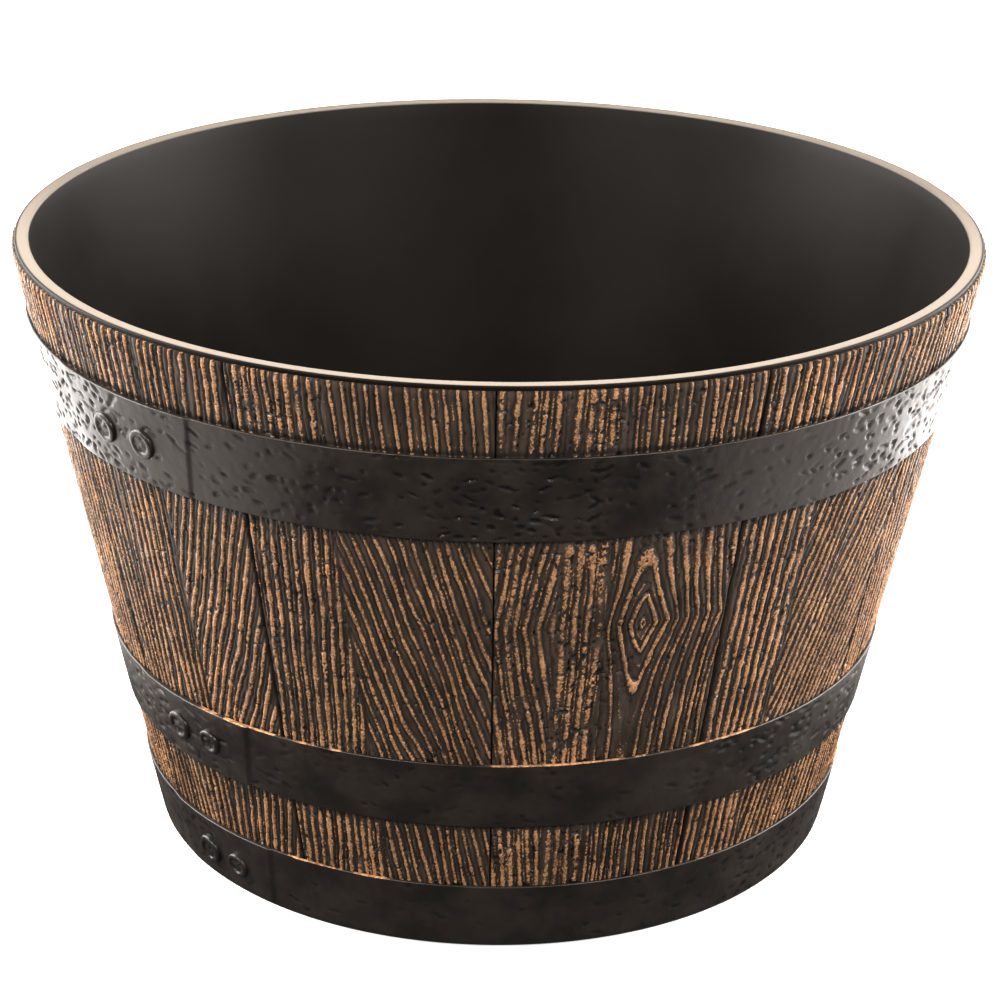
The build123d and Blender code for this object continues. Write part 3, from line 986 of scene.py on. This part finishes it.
shell = {
    "wall": 3.0 * mm,
    "behindStaves": 4.6 * mm,
    "lipSetback": 2.0 * mm,
    "lipThickness": 1.6 * mm,
    "lipInnerRound": 1.2 * mm,
    "lipOuterRound": 0.5 * mm,
    # painted shadow on the lip's outer edge in front, and the painted highlight dimmed at the back
    "darkEdge": 1.3 * mm,
    "darkFull": 0.6 * mm,
    "backTurns": (75, 110),
    "backHighlightDimming": 0.38,
    "ledgeBottom": 2.0 * mm,
    "ledgeThickness": 4.0 * mm,
    "ledgeRound": 2.66 * mm,
    "footRadius": 139.0 * mm,
    "footWidth": 9.0 * mm,
    "footHeight": 8.0 * mm,
    "footRound": 0.8 * mm,
    "floorThickness": 4.0 * mm,
    "cornerRound": 8.0 * mm,
    "drainRadius": 11.0 * mm,
    "drainRounds": (0.4 * mm, 0.6 * mm),
    "swell": 0.35 * mm,
    "swellCell": (24, 90 * mm),
    "swellFade": 40 * mm,
    "notches": 4,
    "notchWidth": 20.0 * mm,
    "notchDepth": 3.0 * mm,
    "steps": 288,
}


def cutNotches(pot):
    # notches through the foot ring let drained water out
    middle = shell["footRadius"] - shell["footWidth"] / 2
    bpy.ops.mesh.primitive_cube_add(size=1)
    cutter = startPiece("notch_cutter")
    cutter.scale = (shell["footWidth"] + 4 * mm, shell["notchWidth"], 2 * shell["notchDepth"])
    bpy.ops.object.transform_apply(scale=True)
    cube = readPoints(cutter) + (middle, 0, 0)
    bpy.ops.object.mode_set(mode="EDIT")
    for order in range(1, shell["notches"]):
        bpy.ops.mesh.duplicate()
    bpy.ops.object.mode_set(mode="OBJECT")
    apart = 2 * math.pi / shell["notches"]
    turns = [Matrix.Rotation(order * apart, 3, "Z") for order in range(shell["notches"])]
    writePoints(cutter, np.concatenate([cube @ np.array(turn).T for turn in turns]))
    activate(pot)
    cut = pot.modifiers.new("notch", "BOOLEAN")
    cut.operation = "DIFFERENCE"
    cut.solver = "EXACT"
    cut.object = cutter
    bpy.ops.object.modifier_apply(modifier="notch")
    bpy.data.objects.remove(cutter)


def makeShell():
    inner = -shell["behindStaves"] - shell["wall"]
    lipEdge = wall["rimRadius"] - shell["lipSetback"]
    lipLow = rimHeight - shell["lipThickness"]
    ledgeTop = shell["ledgeBottom"] + shell["ledgeThickness"]
    floorTop = shell["footHeight"] + shell["floorThickness"]
    footInner = shell["footRadius"] - shell["footWidth"]
    edge = shell["footRound"]
    drainUnder, drainOver = shell["drainRounds"]
    outline = roundedOutline([
        (shell["drainRadius"], shell["footHeight"], drainUnder, 12 * mm),
        (footInner, shell["footHeight"], edge, 0),
        (footInner, 0, edge, 0),
        (shell["footRadius"], 0, edge, 0),
        (shell["footRadius"], shell["ledgeBottom"], 0, 0),
        (wallRadius(shell["ledgeBottom"]), shell["ledgeBottom"], shell["ledgeRound"], 0),
        (wallRadius(ledgeTop), ledgeTop, 0, 0),
        (wallRadius(ledgeTop) - shell["behindStaves"], ledgeTop, 0, 25 * mm),
        (wallRadius(lipLow) - shell["behindStaves"], lipLow, 0, 0),
        (lipEdge, lipLow, 0, 0),
        (lipEdge, rimHeight, shell["lipOuterRound"], 0.9 * mm),
        (wallRadius(rimHeight) + inner, rimHeight, shell["lipInnerRound"], 6 * mm),
        (wallRadius(floorTop) + inner, floorTop, shell["cornerRound"], 9 * mm),
        (shell["drainRadius"], floorTop, drainOver, 0),
    ])
    pot = turnOutline("pot_shell_skin", outline, shell["steps"])
    cutNotches(pot)
    points = readPoints(pot)
    radius = np.hypot(points[:, 0], points[:, 1])
    turn = turnOf(points)
    # the moulded wall isn't quite true: a slow swell that fades at the lip and the floor
    inside = (radius < wallRadius(points[:, 2]) + inner + 0.5 * mm) & (points[:, 2] > floorTop + 0.5 * mm)
    cellTurn, cellHigh = shell["swellCell"]
    swell = softNoise(turn / cellTurn + 70, points[:, 2] / cellHigh, 301) * inside
    swell = swell * smoothStep(rimHeight, rimHeight - shell["swellFade"], points[:, 2])
    grown = 1 + shell["swell"] * swell / np.maximum(radius, mm)
    writePoints(pot, np.column_stack((points[:, 0] * grown, points[:, 1] * grown, points[:, 2])))
    # the lip's top is pale with a painted highlight, dimmed at the back, but for its outer edge, which has
    # painted shadow in front and is rubbed to copper at the back
    lipTop = smoothStep(rimHeight - 0.9 * mm, rimHeight - 0.2 * mm, points[:, 2])
    onLip = points[:, 2] > lipLow - 0.1 * mm
    outerEdge = smoothStep(lipEdge - shell["darkEdge"], lipEdge - shell["darkFull"], radius) * onLip
    atBack = smoothStep(*shell["backTurns"], abs(turn))
    storeValue(pot, "lip", lipTop * (1 - outerEdge) * (1 - shell["backHighlightDimming"] * atBack))
    storeValue(pot, "rub", outerEdge * atBack * (0.8 + 0.3 * softNoise((turn % 360) / 3, turn * 0, 303)))
    finishPiece(pot, "pot", "pot_shell", shellMaterial, smoothAngle=35)


makeShell()
print("shell made")

# Drain plug: a soft stopper with a grip tab

plug = {
    "neckRadius": 10.92 * mm,
    "neckLow": 6.5 * mm,
    "neckChamfer": 0.8 * mm,
    "flangeRadius": 17.0 * mm,
    "flangeLow": 12.1 * mm,
    "flangeThickness": 3.0 * mm,
    "flangeRound": 1.0 * mm,
    "tabWidth": 20.0 * mm,
    "tabHeight": 11.0 * mm,
    "tabThickness": 5.0 * mm,
    "tabRound": 1.5 * mm,
    "tabSunk": 1.0 * mm,
    "steps": 128,
}


def makePlug():
    top = plug["flangeLow"] + plug["flangeThickness"]
    outline = roundedOutline([
        (0, plug["neckLow"], 0, 2 * mm),
        (plug["neckRadius"], plug["neckLow"], plug["neckChamfer"], 1.2 * mm),
        (plug["neckRadius"], plug["flangeLow"], 0, 0),
        (plug["flangeRadius"], plug["flangeLow"], 0.4 * mm, 0),
        (plug["flangeRadius"], top, plug["flangeRound"], 1.2 * mm),
        (0, top, 0, 0),
    ])
    stopper = turnOutline("drain_plug_rubber", outline, plug["steps"], closed=False)
    tabLength = plug["tabHeight"] + plug["tabSunk"]
    bpy.ops.mesh.primitive_cube_add(size=1, location=(0, 0, top - plug["tabSunk"] + tabLength / 2))
    tab = startPiece("plug_tab")
    tab.scale = (plug["tabWidth"], plug["tabThickness"], tabLength)
    bpy.ops.object.transform_apply(location=True, scale=True)
    soften = tab.modifiers.new("soften", "BEVEL")
    soften.width = plug["tabRound"]
    soften.segments = 5
    bpy.ops.object.modifier_apply(modifier="soften")
    activate(stopper)
    join = stopper.modifiers.new("join", "BOOLEAN")
    join.operation = "UNION"
    join.solver = "EXACT"
    join.object = tab
    bpy.ops.object.modifier_apply(modifier="join")
    bpy.data.objects.remove(tab)
    finishPiece(stopper, "plug", "drain_plug", plugMaterial, smoothAngle=40)


makePlug()
print("plug made")
makeStaves()

# Stage: pale floor, soft lights and the camera

stage = {
    "floorSize": 60.0,
    "floorColour": (0.90, 0.895, 0.885),
    "floorGlow": 0.80,
    "floorDrop": 0.2 * mm,
    "airColour": (1.0, 0.985, 0.97),
    "airStrength": 0.10,
}
# place, the point it looks at, width, height, watts and colour of each soft box
softBoxes = {
    "leftBox": ((-1.35, 0.25, 0.75), (0, 0, 0.14), 1.0, 1.3, 66, (1.0, 0.96, 0.93)),
    "rightBox": ((1.35, 0.25, 0.75), (0, 0, 0.14), 1.0, 1.3, 70, (1.0, 0.96, 0.93)),
    "backLeftBox": ((-1.1, 1.3, 0.45), (0, 0, 0.14), 1.0, 0.9, 20, (1.0, 0.97, 0.95)),
    "backRightBox": ((1.1, 1.3, 0.45), (0, 0, 0.14), 1.0, 0.9, 22, (1.0, 0.97, 0.95)),
    "frontLeftBox": ((-1.0, -1.35, 1.1), (0, 0, 0.10), 0.9, 0.5, 32, (1.0, 0.94, 0.88)),
    "frontRightBox": ((1.0, -1.35, 1.1), (0, 0, 0.10), 0.9, 0.5, 31, (1.0, 0.94, 0.88)),
    "leftCard": ((-0.80, 0.44, 0.004), (-0.80, 0.44, 1), 1.10, 0.68, 17, (1.0, 0.95, 0.92)),
    "rightCard": ((0.80, 0.44, 0.004), (0.80, 0.44, 1), 1.10, 0.68, 19, (1.0, 0.95, 0.92)),
    "leftDimCard": ((-0.72, -0.10, 0.004), (-0.72, -0.10, 1), 0.96, 0.40, 1.9, (1.0, 0.91, 0.85)),
    "rightDimCard": ((0.72, -0.10, 0.004), (0.72, -0.10, 1), 0.96, 0.40, 1.5, (1.0, 0.91, 0.85)),
}
camera = {
    "place": (0.00221, -1.19223, 0.62296),
    "look": (0, 0.92537, -0.37907),
    "roll": 0.819,
    "lens": 108.69,
    "sensor": 36.0,
}


def makeStage():
    bpy.ops.mesh.primitive_plane_add(size=stage["floorSize"], location=(0, 0, -stage["floorDrop"]))
    floor = startPiece("studio_floor")
    bpy.ops.object.transform_apply(location=True)
    paper, tree, skin = startMaterial("palePaper")
    skin.inputs["Base Color"].default_value = (*stage["floorColour"], 1)
    skin.inputs["Roughness"].default_value = 0.9
    skin.inputs["Emission Color"].default_value = (*stage["floorColour"], 1)
    skin.inputs["Emission Strength"].default_value = stage["floorGlow"]
    floor.data.materials.append(paper)
    # the pot isn't lit from below
    floor.visible_diffuse = False
    floor.visible_glossy = False
    floor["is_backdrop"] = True
    world = bpy.data.worlds.new("paleRoom")
    world.use_nodes = True
    air = world.node_tree.nodes["Background"]
    air.inputs["Color"].default_value = (*stage["airColour"], 1)
    air.inputs["Strength"].default_value = stage["airStrength"]
    bpy.context.scene.world = world


def makeLights():
    for name, (place, target, width, height, watts, colour) in softBoxes.items():
        bpy.ops.object.light_add(type="AREA", location=place)
        box = bpy.context.active_object
        box.name = name
        box.data.shape = "RECTANGLE"
        box.data.size, box.data.size_y = width, height
        box.data.energy = watts
        box.data.color = colour
        box.visible_camera = False
        box.rotation_euler = (Vector(target) - Vector(place)).to_track_quat("-Z", "Y").to_euler()


def makeCamera():
    bpy.ops.object.camera_add(location=camera["place"])
    eye = bpy.context.active_object
    eye.name = "photoCamera"
    turn = Vector(camera["look"]).to_track_quat("-Z", "Y").to_matrix()
    eye.rotation_euler = (turn @ Matrix.Rotation(math.radians(camera["roll"]), 3, "Z")).to_euler()
    eye.data.lens = camera["lens"]
    eye.data.sensor_width = camera["sensor"]
    bpy.context.scene.camera = eye


makeStage()
makeLights()
makeCamera()
bpy.context.scene.view_settings.view_transform = "Standard"
print("stage set")

faces = sum(len(p.data.polygons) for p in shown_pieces())
print("faces in all:", faces)
